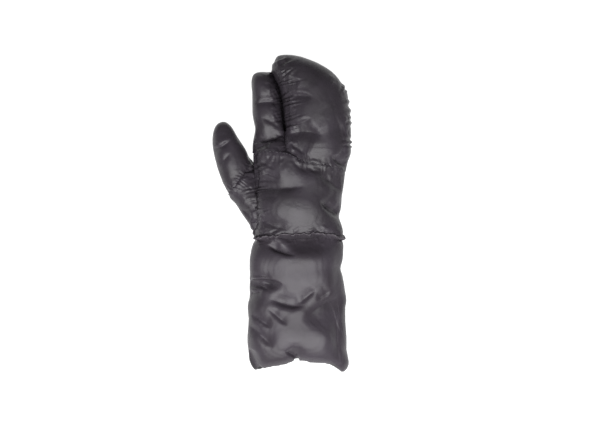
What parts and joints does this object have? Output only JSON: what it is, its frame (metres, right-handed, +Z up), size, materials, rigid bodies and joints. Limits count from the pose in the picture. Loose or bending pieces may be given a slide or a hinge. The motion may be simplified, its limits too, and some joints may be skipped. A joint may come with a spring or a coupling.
{
  "type": "lobster claw mitt",
  "caption": "Insulated mitt for the right hand with a thumb, a separate index finger, a pocket for the other fingers and a long gauntlet cuff.",
  "frame": {"origin": "on the surface that the mitt lies on, under the middle of its box", "axes": "+Y to the fingertips, +X to the little finger, +Z up out of the back of the hand"},
  "size_m": [0.1742, 0.3976, 0.06],
  "materials": {
    "shell_fabric": "thin charcoal nylon with a soft sheen, over loose fill",
    "welt_fabric": "gathered seam edge of the same nylon, in shade"
  },
  "bodies": {
    "root": {"gauntlet_cuff": "shell_fabric", "wrist_welt": "welt_fabric", "hand_shell": "shell_fabric", "thumb_gusset": "shell_fabric", "thumb_stall": "shell_fabric", "index_stall": "shell_fabric", "finger_pocket": "shell_fabric"}
  },
  "joints": []
}
